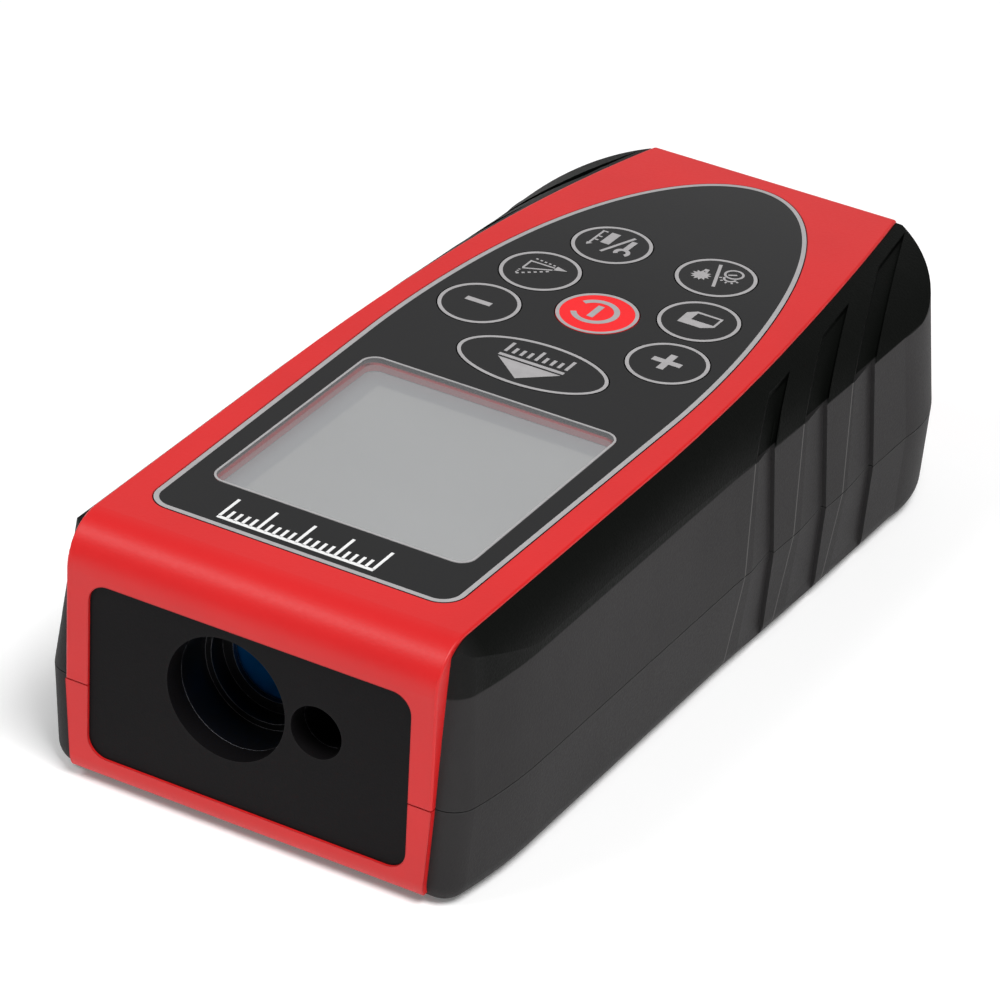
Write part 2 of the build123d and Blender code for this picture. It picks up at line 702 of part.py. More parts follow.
def receiver_lens():
    return plano_convex(RECEIVER_X, LENS_FRONT_Y + 0.02, LENS_BORE - 0.05, 3.2, LENS_CROWN)


def laser_tube():
    tube = rod(LASER_X, (CAVITY_FRONT_Y, -44.0), OPTICS_Z, TUBE_RADIUS)
    tube = tube - rod(LASER_X, (CAVITY_FRONT_Y - 1, -47.0), OPTICS_Z, LASER_RADIUS)
    return tube - rod(LASER_X, (-48.0, -43.0), OPTICS_Z, 2.4)


def collimator_lens():
    return plano_convex(LASER_X, -51.5, LASER_RADIUS - 0.03, 2.0, 0.6)


def laser_diode():
    can = rod(LASER_X, (-46.9, -44.0), OPTICS_Z, 2.3)
    flange = rod(LASER_X, (-43.98, -42.8), OPTICS_Z, 2.8)
    diode = can + rod(LASER_X, (-44.2, -43.8), OPTICS_Z, 2.2) + flange
    for dx, dz in ((-1, 0.6), (1, 0.6), (0, -1)):
        diode = diode + rod(LASER_X + dx, (-43.5, -39.5), OPTICS_Z + dz, 0.25)
    return diode


def optics_chassis():
    """Cast block that holds the receiver barrel and the laser in line."""
    front = box((-13.2, 14.6), (CAVITY_FRONT_Y + 0.1, -46.0), (7.2, 26.8))
    arm = box((-13.2, 14.6), (-46.0, -38.2), (7.2, 24.6))
    block = front + arm
    block = block - rod(RECEIVER_X, (-60, BARREL_REAR_Y), OPTICS_Z, BARREL_RADIUS)
    block = block - rod(RECEIVER_X, (-46, -37), OPTICS_Z, 5.6)
    block = block - rod(LASER_X, (-60, -43.9), OPTICS_Z, TUBE_RADIUS)
    block = block - rod(LASER_X, (-44.5, -37), OPTICS_Z, 3.2)
    for x in (-11.0, 12.4):
        block = block - rod(x, (-61, -37), 9.4, 1.3)
    return block


def detector_board():
    board = box((-12.6, 14.0), (-38.2, -37.2), (7.6, 24.4))
    for x in (-11.0, 12.4):
        board = board - rod(x, (-39, -36), 9.4, 1.3)
    return board - rod(LASER_X, (-39, -36), OPTICS_Z, 3.0)


def photodiode():
    base = box((RECEIVER_X - 2.4, RECEIVER_X + 2.4), (-39.4, -38.2), (OPTICS_Z - 2.4, OPTICS_Z + 2.4))
    return base + rod(RECEIVER_X, (-40.2, -39.3), OPTICS_Z, 1.6)


# ======== display, boards and keys ========

def keypad_overlay():
    label = label_prism(0, (20, 40)) & top_layer(LABEL_THICK)
    label = label - display_prism(0.05, (20, 40))
    for name in KEY_NAMES:
        label = label - key_prism(name, KEY_CLEARANCE, (20, 40))
    return label


def display_window():
    return display_prism(0, (HEIGHT - LABEL_THICK, HEIGHT))


def key(name):
    """Key cap flush with the label, a lip under it and a stem down to its dome."""
    x, y = key_centre(name)
    seat = key_seat_z(name)
    cap = key_prism(name, 0, (seat - 0.06, 40)) & strip_profile()
    lip = key_prism(name, KEY_LIP, (seat - 0.5, seat - 0.05))
    stem = post(x, y, (KEY_STEM_BOTTOM_Z, seat - 0.3), KEY_STEM)
    return cap + lip + stem


def lcd_glass():
    span_y = (DISPLAY_Y[0] - 1.6, DISPLAY_Y[1] + 1.6)
    glass = rounded_post((-LCD_HALF, LCD_HALF), span_y, (LCD_BOTTOM_Z, LCD_TOP_Z), 0.6)
    ledge = box((-LCD_HALF - 1, LCD_HALF + 1), (DISPLAY_Y[1] + 0.2, span_y[1] + 1), (LCD_BOTTOM_Z + 0.7, LCD_TOP_Z + 1))
    return glass - ledge


def backlight():
    panel_z = (BACKLIGHT_BOTTOM_Z, LCD_BOTTOM_Z - 0.05)
    panel = rounded_post((-17.2, 17.2), (DISPLAY_Y[0] - 0.4, DISPLAY_Y[1] - 1.2), panel_z, 0.5)
    tab = box((-3, 3), (DISPLAY_Y[1] - 1.3, DISPLAY_Y[1] - 0.3), (BACKLIGHT_BOTTOM_Z, BACKLIGHT_BOTTOM_Z + 0.8))
    return panel + tab


def lcd_frame():
    """Tray that carries the backlight and the glass over the main board."""
    frame_y = (BOARD_Y[0], DISPLAY_Y[1] + 1.6)
    outer = rounded_post((-LCD_HALF, LCD_HALF), frame_y, (BOARD_Z[1], LCD_BOTTOM_Z), 0.6)
    tray_z = (BACKLIGHT_BOTTOM_Z, LCD_BOTTOM_Z + 0.4)
    tray = rounded_post((-17.2, 17.2), (DISPLAY_Y[0] - 0.4, DISPLAY_Y[1] - 0.2), tray_z, 0.5)
    connector_slot = box((-16, 16), (DISPLAY_Y[1] + 0.1, DISPLAY_Y[1] + 1.1), (26, 29))
    return outer - tray - connector_slot


def lcd_connector():
    """Striped rubber connector between the glass and the board."""
    return box((-15.8, 15.8), (DISPLAY_Y[1] + 0.2, DISPLAY_Y[1] + 1.0), (BOARD_Z[1], LCD_BOTTOM_Z))


def main_board():
    board = rounded_post((-BOARD_HALF, BOARD_HALF), (BOARD_Y[0], 4.0), BOARD_Z, 1.2)
    tail = rounded_post((-15.0, 15.0), (0.0, BOARD_Y[1]), BOARD_Z, 1.2)
    board = board + tail
    for x, y in BOARD_BOSSES:
        board = board - post(x, y, (20, 30), 1.1)
    return board


def board_screws():
    screws = []
    for x, y in BOARD_BOSSES:
        head = post(x, y, (24.2, BOARD_Z[0]), 1.7)
        shank = post(x, y, (BOARD_Z[0] - 0.1, 29.2), 0.75)
        slot = box((x - 1.1, x + 1.1), (y - 0.2, y + 0.2), (24.0, 24.7))
        screws.append(head + shank - slot)
    return Compound(screws)


def board_chips():
    """Processor, amplifier, memory, oscillator and driver under the board."""
    chips = (
        (-4.0, -26.0, 9.0, 9.0, 1.4),
        (9.0, -30.0, 5.0, 6.0, 1.1),
        (9.5, -20.0, 6.0, 5.0, 1.1),
        (-6.0, 14.0, 8.0, 5.0, 1.3),
        (7.0, 20.0, 3.2, 5.0, 1.6),
        (-8.0, 34.0, 6.5, 3.6, 1.8),
    )
    return Compound([
        rounded_post((x - w / 2, x + w / 2), (y - d / 2, y + d / 2), (BOARD_Z[0] - h, BOARD_Z[0]), 0.3)
        for x, y, w, d, h in chips
    ])


def buzzer():
    can = post(8.0, 34.0, (BOARD_Z[0] - 4.0, BOARD_Z[0]), 5.0)
    return can - post(8.0, 34.0, (BOARD_Z[0] - 4.5, BOARD_Z[0] - 2.0), 1.0)


def dome_switches():
    """One snap dome on the board below every key."""
    domes = []
    for name in KEY_NAMES:
        x, y = key_centre(name)
        base = post(x, y, (BOARD_Z[1], BOARD_Z[1] + 0.5), 2.6)
        cap = Cone(2.2, 1.2, DOME_TOP_Z - BOARD_Z[1] - 0.5)
        domes.append(base + Pos(x, y, (BOARD_Z[1] + 0.5 + DOME_TOP_Z) / 2) * cap)
    return Compound(domes)


# ======== batteries ========

def cell(side):
    """AAA cell; the right-hand one is turned end for end."""
    rear = BAY_Y[1] - CONTACT_THICK - 0.05
    can = rod(0, (rear - CELL_LENGTH, rear - 0.9), 0, CELL_RADIUS)
    can = fillet(can.edges(), 0.5)
    nub = rod(0, (rear - 1.0, rear), 0, 1.9)
    body = can + nub
    middle_y = (BAY_Y[0] + BAY_Y[1]) / 2
    if side > 0:
        body = body.rotate(Axis((0, middle_y, 0), (0, 0, 1)), 180)
    return Pos(side * CELL_X, 0, CELL_Z) * body


def battery_contacts():
    """Sprung metal plates at both ends of the bay, joined in pairs at the front."""
    plates = []
    for side in (-1, 1):
        for y in (BAY_Y[0], BAY_Y[1] - CONTACT_THICK):
            x = side * CELL_X
            plates.append(box((x - 4.6, x + 4.6), (y, y + CONTACT_THICK), (3.2, 13.0)))
    return Compound(plates)


def battery_springs():
    """Conical springs that press on the cells' flat ends."""
    springs = []
    wire = SPRING_WIRE_RADIUS
    gap = BAY_Y[1] - BAY_Y[0] - 2 * CONTACT_THICK - CELL_LENGTH - 0.05
    height = gap - 2 * wire - 0.1
    for side in (-1, 1):
        helix = Helix(pitch=height / SPRING_TURNS, height=height, radius=SPRING_RADIUS, cone_angle=-14)
        profile = Plane(origin=helix @ 0, z_dir=helix % 0) * Circle(wire)
        coil = sweep(profile, path=helix, is_frenet=True)
        if side < 0:
            placed = Pos(-CELL_X, BAY_Y[0] + CONTACT_THICK + wire + 0.05, CELL_Z) * Rot(-90, 0, 0) * coil
        else:
            placed = Pos(CELL_X, BAY_Y[1] - CONTACT_THICK - wire - 0.05, CELL_Z) * Rot(90, 0, 0) * coil
        springs.append(placed)
    return Compound([s.solid() for s in springs])


def battery_door():
    """Door that swings down on two pins at its front edge."""
    plate = box((-DOOR_HALF, DOOR_HALF), (HINGE_Y, DOOR_REAR_Y), DOOR_Z)
    plate = plate + cross_rod((-DOOR_HALF, DOOR_HALF), HINGE_Y, HINGE_Z, KNUCKLE_RADIUS)
    reach = DOOR_HALF + PIN_LENGTH
    plate = plate + cross_rod((-reach, reach), HINGE_Y, HINGE_Z, PIN_RADIUS)
    for row in range(6):
        y = DOOR_REAR_Y - 9.5 + row * 1.3
        plate = plate - box((-5.5, 5.5), (y, y + 0.6), (0, DOOR_Z[0] + 0.4))
    plate = plate - box((-3.6, 3.6), (DOOR_REAR_Y - 0.7, DOOR_REAR_Y + 1), (0, 0.95))
    return plate


def battery_pad():
    """Foam strip on the door that keeps the cells quiet."""
    return rounded_post((-9.5, 9.5), (26.0, 34.0), (DOOR_Z[1], DOOR_Z[1] + 0.5), 0.8)


# ======== build and write ========

def all_parts():
    parts = {
        "top_shell": top_shell(),
        "grip_left": grip(-1),
        "grip_right": grip(1),
        "front_lower_trim": front_lower_trim(),
        "bottom_shell": bottom_shell(),
        "case_gasket": case_gasket(),
        "case_screws": case_screws(),
        "front_panel": front_panel(),
        "receiver_barrel": receiver_barrel(),
        "lens_retaining_ring": lens_retaining_ring(),
        "receiver_lens": receiver_lens(),
        "laser_tube": laser_tube(),
        "collimator_lens": collimator_lens(),
        "laser_diode": laser_diode(),
        "optics_chassis": optics_chassis(),
        "detector_board": detector_board(),
        "photodiode": photodiode(),
        "keypad_overlay": keypad_overlay(),
        "display_window": display_window(),
        "lcd_glass": lcd_glass(),
        "backlight": backlight(),
        "lcd_frame": lcd_frame(),
        "lcd_connector": lcd_connector(),
        "main_board": main_board(),
        "board_screws": board_screws(),
        "board_chips": board_chips(),
        "buzzer": buzzer(),
        "dome_switches": dome_switches(),
        "battery_1": cell(-1),
        "battery_2": cell(1),
        "battery_contacts": battery_contacts(),
        "battery_springs": battery_springs(),
        "battery_door": battery_door(),
        "battery_pad": battery_pad(),
    }
    for name in KEY_NAMES:
        parts[name] = key(name)
    return parts


os.makedirs("parts", exist_ok=True)
for node, shape in all_parts().items():
    export_step(shape, f"parts/{node}.step")
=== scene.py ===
import json
import math

import bpy
from mathutils import Euler, Matrix, Vector
from mathutils.bvhtree import BVHTree
from mathutils.geometry import tessellate_polygon


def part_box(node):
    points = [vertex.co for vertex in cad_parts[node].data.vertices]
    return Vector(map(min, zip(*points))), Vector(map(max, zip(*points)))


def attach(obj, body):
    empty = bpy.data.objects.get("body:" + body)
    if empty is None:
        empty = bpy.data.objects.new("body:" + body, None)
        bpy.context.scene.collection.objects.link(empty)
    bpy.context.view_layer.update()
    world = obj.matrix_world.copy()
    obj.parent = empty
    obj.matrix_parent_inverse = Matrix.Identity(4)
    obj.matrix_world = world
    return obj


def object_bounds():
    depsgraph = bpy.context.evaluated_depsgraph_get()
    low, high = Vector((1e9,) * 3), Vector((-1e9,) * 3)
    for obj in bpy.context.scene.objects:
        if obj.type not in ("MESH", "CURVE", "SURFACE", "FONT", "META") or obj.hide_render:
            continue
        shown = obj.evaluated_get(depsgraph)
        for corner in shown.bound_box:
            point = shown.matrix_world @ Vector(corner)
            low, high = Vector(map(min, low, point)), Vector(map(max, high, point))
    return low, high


# The meter lies on its back. Its laser end points to -Y and its keys face +Z.
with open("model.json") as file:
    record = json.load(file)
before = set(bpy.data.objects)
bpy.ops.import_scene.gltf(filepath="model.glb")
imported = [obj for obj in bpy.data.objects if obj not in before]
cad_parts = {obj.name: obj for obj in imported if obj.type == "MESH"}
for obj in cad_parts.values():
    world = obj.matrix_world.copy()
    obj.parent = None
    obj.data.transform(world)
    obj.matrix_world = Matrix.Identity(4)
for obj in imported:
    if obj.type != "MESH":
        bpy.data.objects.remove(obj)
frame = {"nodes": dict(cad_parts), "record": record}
CAD_BOX = [list(corner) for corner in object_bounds()]
MM = 0.001
NODES = frame["nodes"]
KEYS = sorted(name for name in NODES if name.startswith("key_"))


# ---------- camera, floor and light ----------

CAMERA_PLACE = (0.26865, -0.48986, 0.34384)
CAMERA_AZIMUTH = 29.0426          # the camera's angles are in degrees
CAMERA_ELEVATION = 30.5297
CAMERA_ROLL = 2.992
CAMERA_LENS = 197.72

TOP_SOFTBOX = dict(place=(0.45, -0.25, 0.95), aim=(0, 0, 0), size=(0.5, 0.5), power=11.0)
FRONT_SOFTBOX = dict(place=(-0.53, -0.585, 1.04), aim=(0, 0, 0.02), size=(0.5, 0.3), power=4.2)
BRIGHT_SIDE = (-0.9, 0.45, 0.0)   # seen by the camera, this is behind the meter on the left
SIDE_RANGE = (0.05, 0.55)         # the light grows over this range of directions towards it
SIDE_STRENGTH = (0.1, 0.6)
OVERHEAD_RANGE = (0.5, 0.85)      # and falls off over this range of heights
OVERHEAD_SHARE = (1.0, 0.3)
FLOOR_REACH = 6.0
FLOOR_GAP = 0.02 * MM             # keeps the floor clear of the flat base
FLOOR_GLOW = 0.15                 # the floor is a lit table, so shadows on it stay faint


def make_camera():
    data = bpy.data.cameras.new("camera")
    camera = bpy.data.objects.new("camera", data)
    turn = Euler((0, 0, math.radians(CAMERA_AZIMUTH))).to_matrix()
    tilt = Euler((math.radians(90 - CAMERA_ELEVATION), 0, 0)).to_matrix()
    roll = Euler((0, 0, math.radians(CAMERA_ROLL))).to_matrix()
    camera.matrix_world = Matrix.Translation(CAMERA_PLACE) @ (turn @ tilt @ roll).to_4x4()
    data.lens = CAMERA_LENS
    data.sensor_width = 36
    data.clip_start = 0.01
    bpy.context.scene.collection.objects.link(camera)
    bpy.context.scene.camera = camera


def make_light(name, place, aim, size, power):
    data = bpy.data.lights.new(name, "AREA")
    data.shape = "RECTANGLE"
    data.size, data.size_y = size
    data.energy = power
    light = bpy.data.objects.new(name, data)
    light.location = place
    light.rotation_euler = (Vector(aim) - Vector(place)).to_track_quat("-Z", "Y").to_euler()
    bpy.context.scene.collection.objects.link(light)


def make_world():
    """Soft room light, bright on the BRIGHT_SIDE, dimmer overhead and on all other sides."""
    world = bpy.data.worlds.new("studio")
    world.use_nodes = True
    tree = world.node_tree
    background = tree.nodes["Background"]
    background.inputs["Color"].default_value = (1, 1, 1, 1)
    place = tree.nodes.new("ShaderNodeTexCoord")
    toward = tree.nodes.new("ShaderNodeVectorMath")
    toward.operation = "DOT_PRODUCT"
    tree.links.new(place.outputs["Generated"], toward.inputs[0])
    toward.inputs[1].default_value = BRIGHT_SIDE
    side = map_range(tree, toward.outputs["Value"], SIDE_RANGE, SIDE_STRENGTH)
    split = tree.nodes.new("ShaderNodeSeparateXYZ")
    tree.links.new(place.outputs["Generated"], split.inputs["Vector"])
    overhead = map_range(tree, split.outputs["Z"], OVERHEAD_RANGE, OVERHEAD_SHARE)
    tree.links.new(calculate(tree, "MULTIPLY", side, overhead), background.inputs["Strength"])
    bpy.context.scene.world = world


def make_floor():
    mesh = bpy.data.meshes.new("floor")
    level = CAD_BOX[0][2] - FLOOR_GAP
    signs = ((-1, -1), (1, -1), (1, 1), (-1, 1))
    corners = [(x * FLOOR_REACH, y * FLOOR_REACH, level) for x, y in signs]
    mesh.from_pydata(corners, [], [(0, 1, 2, 3)])
    floor = bpy.data.objects.new("floor", mesh)
    bpy.context.scene.collection.objects.link(floor)
    paint = surface("floor_paint", (0.94, 0.94, 0.94), 0.7)
    shader = paint.node_tree.nodes["Principled BSDF"]
    shader.inputs["Emission Color"].default_value = (1, 1, 1, 1)
    shader.inputs["Emission Strength"].default_value = FLOOR_GLOW
    mesh.materials.append(paint)


def make_studio():
    make_light("top_softbox", **TOP_SOFTBOX)
    make_light("front_softbox", **FRONT_SOFTBOX)
    make_world()
    bpy.context.scene.view_settings.view_transform = "Standard"
    make_floor()


# ---------- shader building blocks ----------

NOISE_MIDDLE = (0.3, 0.7)   # most of a noise texture's values lie between these
GRAIN_DEPTH = 0.05 * MM
EDGE_COLOUR_TURN = (0.97, 0.8)     # cosines of the turn at an edge where the edge wear and painted highlight begin and are full


def add_node(tree, kind, **values):
    node = tree.nodes.new(kind)
    for name, value in values.items():
        node.inputs[name.replace("_", " ")].default_value = value
    return node


def map_range(tree, value, source, target):
    """Socket that turns one range of a value into another, held at both ends."""
    node = tree.nodes.new("ShaderNodeMapRange")
    node.inputs["From Min"].default_value, node.inputs["From Max"].default_value = source
    node.inputs["To Min"].default_value, node.inputs["To Max"].default_value = target
    tree.links.new(value, node.inputs["Value"])
    return node.outputs["Result"]


def plug(tree, value, slot):
    """Links a socket to a slot, or puts a constant on it."""
    if isinstance(value, bpy.types.NodeSocket):
        tree.links.new(value, slot)
    else:
        slot.default_value = value


def calculate(tree, operation, *values):
    """Socket with the result of one operation on sockets or numbers."""
    node = tree.nodes.new("ShaderNodeMath")
    node.operation = operation
    for slot, value in zip(node.inputs, values):
        plug(tree, value, slot)
    return node.outputs[0]


def mix_colour(tree, low, high, factor, kind="MIX"):
    """Colour socket that blends a socket or colour with another by a socket or number."""
    node = tree.nodes.new("ShaderNodeMix")
    node.data_type = "RGBA"
    node.blend_type = kind
    for name, value in (("A", low), ("B", high), ("Factor", factor)):
        plug(tree, value, node.inputs[name])
    return node.outputs["Result"]


def object_axes(tree):
    """Separate X, Y and Z sockets of the place on the object."""
    place = tree.nodes.new("ShaderNodeTexCoord")
    split = tree.nodes.new("ShaderNodeSeparateXYZ")
    tree.links.new(place.outputs["Object"], split.inputs["Vector"])
    return split.outputs["X"], split.outputs["Y"], split.outputs["Z"]


def edge_mask(tree, radius, strength):
    """Socket that is high only along sharp edges, for edge wear and a painted edge highlight."""
    rounded = add_node(tree, "ShaderNodeBevel", Radius=radius)
    true_side = tree.nodes.new("ShaderNodeNewGeometry")
    dot = tree.nodes.new("ShaderNodeVectorMath")
    dot.operation = "DOT_PRODUCT"
    tree.links.new(rounded.outputs["Normal"], dot.inputs[0])
    tree.links.new(true_side.outputs["Normal"], dot.inputs[1])
    return map_range(tree, dot.outputs["Value"], EDGE_COLOUR_TURN, (0.0, strength))


def rectangle_mask(tree, low, high, soft):
    """Socket that is 1 over a rectangle in plan and falls to 0 outside it."""
    across, along, _ = object_axes(tree)
    mask = 1.0
    for axis, least, most in ((across, low[0], high[0]), (along, low[1], high[1])):
        for edge, away in ((least, -soft), (most, soft)):
            inside = map_range(tree, axis, (edge + away, edge), (0.0, 1.0))
            mask = calculate(tree, "MULTIPLY", inside, mask)
    return mask


def recolour(material, tone, mask):
    """Turns the material's colour to another one where the mask is high."""
    tree = material.node_tree
    base = tree.nodes["Principled BSDF"].inputs["Base Color"]
    old = base.links[0].from_socket if base.links else tuple(base.default_value)
    tree.links.new(mix_colour(tree, old, (*tone, 1), mask), base)


def surface(name, colour, roughness, metallic=0.0, specular=0.5, coat=0.0, alpha=1.0, mottle=0.0,
            mottle_scale=60.0, grain=0.0, grain_scale=4000.0, rough_spread=0.0, edge_wear_and_shading=None):
    """Moulded, printed or metal surface.

    It can have a slow colour mottle, fine grain in the relief and in the gloss, and an edge colour,
    partly wear and partly a painted highlight.
    Its last argument gives the edge colour, the width of the edge band and its strength.
    """
    material = bpy.data.materials.new(name)
    material.use_nodes = True
    tree = material.node_tree
    shader = tree.nodes["Principled BSDF"]
    shader.inputs["Base Color"].default_value = (*colour, 1)
    shader.inputs["Roughness"].default_value = roughness
    shader.inputs["Metallic"].default_value = metallic
    shader.inputs["Specular IOR Level"].default_value = specular
    shader.inputs["Coat Weight"].default_value = coat
    shader.inputs["Coat Roughness"].default_value = 0.25
    shader.inputs["Alpha"].default_value = alpha
    place = tree.nodes.new("ShaderNodeTexCoord")
    if mottle:
        cloud = add_node(tree, "ShaderNodeTexNoise", Scale=mottle_scale, Detail=4.0)
        tree.links.new(place.outputs["Object"], cloud.inputs["Vector"])
        shade = map_range(tree, cloud.outputs["Fac"], NOISE_MIDDLE, (1 - mottle, 1 + mottle))
        tint = mix_colour(tree, (*colour, 1), shade, 1.0, "MULTIPLY")
        tree.links.new(tint, shader.inputs["Base Color"])
    if edge_wear_and_shading:
        edge_colour, width, strength = edge_wear_and_shading
        recolour(material, edge_colour, edge_mask(tree, width, strength))
    if grain:
        pores = add_node(tree, "ShaderNodeTexNoise", Scale=grain_scale, Detail=3.0)
        tree.links.new(place.outputs["Object"], pores.inputs["Vector"])
        bump = add_node(tree, "ShaderNodeBump", Strength=grain, Distance=GRAIN_DEPTH)
        tree.links.new(pores.outputs["Fac"], bump.inputs["Height"])
        tree.links.new(bump.outputs["Normal"], shader.inputs["Normal"])
    if grain and rough_spread:
        spread = (roughness - rough_spread, roughness + rough_spread)
        gloss = map_range(tree, pores.outputs["Fac"], (0.0, 1.0), spread)
        tree.links.new(gloss, shader.inputs["Roughness"])
    return material


# ---------- materials ----------

CREASE_Z = 26.3 * MM          # where the side wall meets the shoulder
CREASE_SOFT = 0.1 * MM
# painted shade on the shoulder above the crease, standing in for its dark reflection
SHOULDER_SHADE_TONE = (0.002, 0.0025, 0.002)
SHOULDER_FADE = (1.0 * MM, 7.0 * MM)   # over this stretch behind the front end it grows to full
SHOULDER_LEAST = 0.6          # from this share
GILL_FRONTS = (4.9 * MM, 16.4 * MM, 28.5 * MM)   # front edge of each gill at the crease
GILL_FRONT_LEAN = 0.22        # and how far it moves forward for each step down
# painted highlight along the front edge of each gill
GILL_HIGHLIGHT_WIDTH = 0.2 * MM
GILL_HIGHLIGHT_TONE = (0.1, 0.097, 0.095)
WALL_REACH = 3.2 * MM         # the side walls lie this close to the widest place
# painted shade on the wall of the display opening
OPENING_SHADE_TONE = (0.3, 0.045, 0.05)
OPENING_SHADE_SOFT = 0.1 * MM
DISPLAY_SHADE = 3.6 * MM      # width of the darker edge on the display
DISPLAY_SHADE_SOFT = 0.6 * MM
DISPLAY_SHADE_TONE = (0.192, 0.195, 0.2)

# the rubber's lighter edges are partly wear, partly a painted highlight
RUBBER = dict(colour=(0.032, 0.0305, 0.031), roughness=0.58, specular=0.08, grain=0.85, grain_scale=3500,
              mottle=0.1, rough_spread=0.12, edge_wear_and_shading=((0.05, 0.05, 0.05), 0.25 * MM, 0.7))
FILM = dict(roughness=0.36, specular=0.27, grain=0.12, grain_scale=5000, mottle=0.05, rough_spread=0.04)
FILM_DARK = (0.0065, 0.0065, 0.007)
PRINT = dict(roughness=0.45, specular=0.3, mottle_scale=900)


def paint_opening_shade(material):
    """Painted shade: the wall of the display opening is painted a darker, duller red than the case."""
    low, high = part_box("display_window")
    recolour(material, OPENING_SHADE_TONE, rectangle_mask(material.node_tree, low, high, OPENING_SHADE_SOFT))


def shade_display(material):
    """The display is darker along its +Y and -X edges, in the shade of its opening."""
    tree = material.node_tree
    low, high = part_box("display_window")
    shaded_low = (low.x + DISPLAY_SHADE, low.y - DISPLAY_SHADE)
    shaded_high = (high.x + DISPLAY_SHADE, high.y - DISPLAY_SHADE)
    lit = rectangle_mask(tree, shaded_low, shaded_high, DISPLAY_SHADE_SOFT)
    recolour(material, DISPLAY_SHADE_TONE, calculate(tree, "SUBTRACT", 1.0, lit))


def paint_shoulder_shade(material):
    """Painted shade: the shoulder above the crease is painted darker, a little less at the front end."""
    tree = material.node_tree
    _, along, up = object_axes(tree)
    above = map_range(tree, up, (CREASE_Z - CREASE_SOFT, CREASE_Z + CREASE_SOFT), (0.0, 1.0))
    front = CAD_BOX[0][1]
    fade_range = (front + SHOULDER_FADE[0], front + SHOULDER_FADE[1])
    fade = map_range(tree, along, fade_range, (SHOULDER_LEAST, 1.0))
    recolour(material, SHOULDER_SHADE_TONE, calculate(tree, "MULTIPLY", above, fade))


def paint_gill_highlights(material):
    """Painted highlight: a thin light line along the front edge of every finger gill, on the side walls only.
    """
    tree = material.node_tree
    across, along, up = object_axes(tree)
    climb = calculate(tree, "MULTIPLY", up, GILL_FRONT_LEAN)
    place = calculate(tree, "SUBTRACT", along, climb)
    lines = 0.0
    for front_y in GILL_FRONTS:
        level = front_y - GILL_FRONT_LEAN * CREASE_Z
        line = calculate(tree, "COMPARE", place, level, GILL_HIGHLIGHT_WIDTH / 2)
        lines = calculate(tree, "ADD", line, lines)
    distance = calculate(tree, "ABSOLUTE", across)
    beside = calculate(tree, "GREATER_THAN", distance, CAD_BOX[1][0] - WALL_REACH)
    below = calculate(tree, "LESS_THAN", up, CREASE_Z)
    walls = calculate(tree, "MULTIPLY", beside, below)
    recolour(material, GILL_HIGHLIGHT_TONE, calculate(tree, "MULTIPLY", lines, walls))


def case_materials():
    materials = {
        # the red case's edges are painted a darker red
        "red_case": surface("red_plastic", (0.63, 0.011, 0.012), 0.42, specular=0.4, grain=0.25,
                            grain_scale=2600, mottle=0.04, rough_spread=0.06,
                            edge_wear_and_shading=((0.36, 0.002, 0.003), 0.3 * MM, 1.0)),
        "grip_rubber": surface("grip_rubber", **RUBBER),
        "lower_case": surface("lower_case", **RUBBER),
        "gasket_rubber": surface("gasket_rubber", (0.004, 0.004, 0.004), 0.7, specular=0.2, grain=0.2,
                                 mottle=0.1),
        "steel": surface("steel", (0.55, 0.55, 0.57), 0.32, metallic=1.0, grain=0.15, mottle=0.05),
    }
    paint_shoulder_shade(materials["grip_rubber"])
    paint_gill_highlights(materials["grip_rubber"])
    paint_gill_highlights(materials["lower_case"])
    paint_opening_shade(materials["red_case"])
    return materials


def optics_materials():
    return {
        "panel_black": surface("panel_black", (0.005, 0.0045, 0.005), 0.5, specular=0.08, grain=0.35,
                               mottle=0.12, rough_spread=0.08, edge_wear_and_shading=((0.03, 0.03, 0.03), 0.15 * MM, 0.5)),
        # the barrel's light edge colour is a painted highlight on its rims
        "barrel_black": surface("barrel_black", (0.003, 0.003, 0.004), 0.38, specular=0.3, grain=0.15,
                                mottle=0.1, edge_wear_and_shading=((0.3, 0.3, 0.32), 0.16 * MM, 1.0)),
        "coated_glass": surface("coated_glass", (0.0, 0.14, 0.46), 0.14, metallic=0.6, mottle=0.04),
        "clear_glass": surface("clear_glass", (0.02, 0.02, 0.03), 0.05, mottle=0.02),
        "brass": surface("brass", (0.6, 0.42, 0.18), 0.3, metallic=1.0, grain=0.1, mottle=0.05),
        "cast_alloy": surface("cast_alloy", (0.45, 0.45, 0.47), 0.5, metallic=1.0, grain=0.5,
                              mottle=0.08),
    }


def electronics_materials():
    return {
        "circuit_board": surface("circuit_board", (0.02, 0.16, 0.06), 0.4, grain=0.15, mottle=0.15),
        "chip_black": surface("chip_black", (0.02, 0.02, 0.022), 0.5, grain=0.3, mottle=0.1),
        "frame_plastic": surface("frame_plastic", (0.08, 0.08, 0.08), 0.5, grain=0.2, mottle=0.05),
        "cell_wrap": surface("cell_wrap", (0.12, 0.13, 0.15), 0.3, grain=0.05, mottle=0.05, coat=0.4),
        "foam": surface("foam", (0.06, 0.06, 0.06), 0.9, grain=0.9, grain_scale=1500, mottle=0.15),
    }


def display_materials():
    materials = {
        "clear_window": surface("clear_window", (0.8, 0.82, 0.84), 0.06, alpha=0.12, mottle=0.02),
        "display_grey": surface("display_grey", (0.247, 0.249, 0.245), 0.3, mottle=0.03, mottle_scale=25,
                                grain=0.05),
        "backlight_white": surface("backlight_white", (0.8, 0.8, 0.78), 0.4, mottle=0.03),
    }
    shade_display(materials["display_grey"])
    return materials


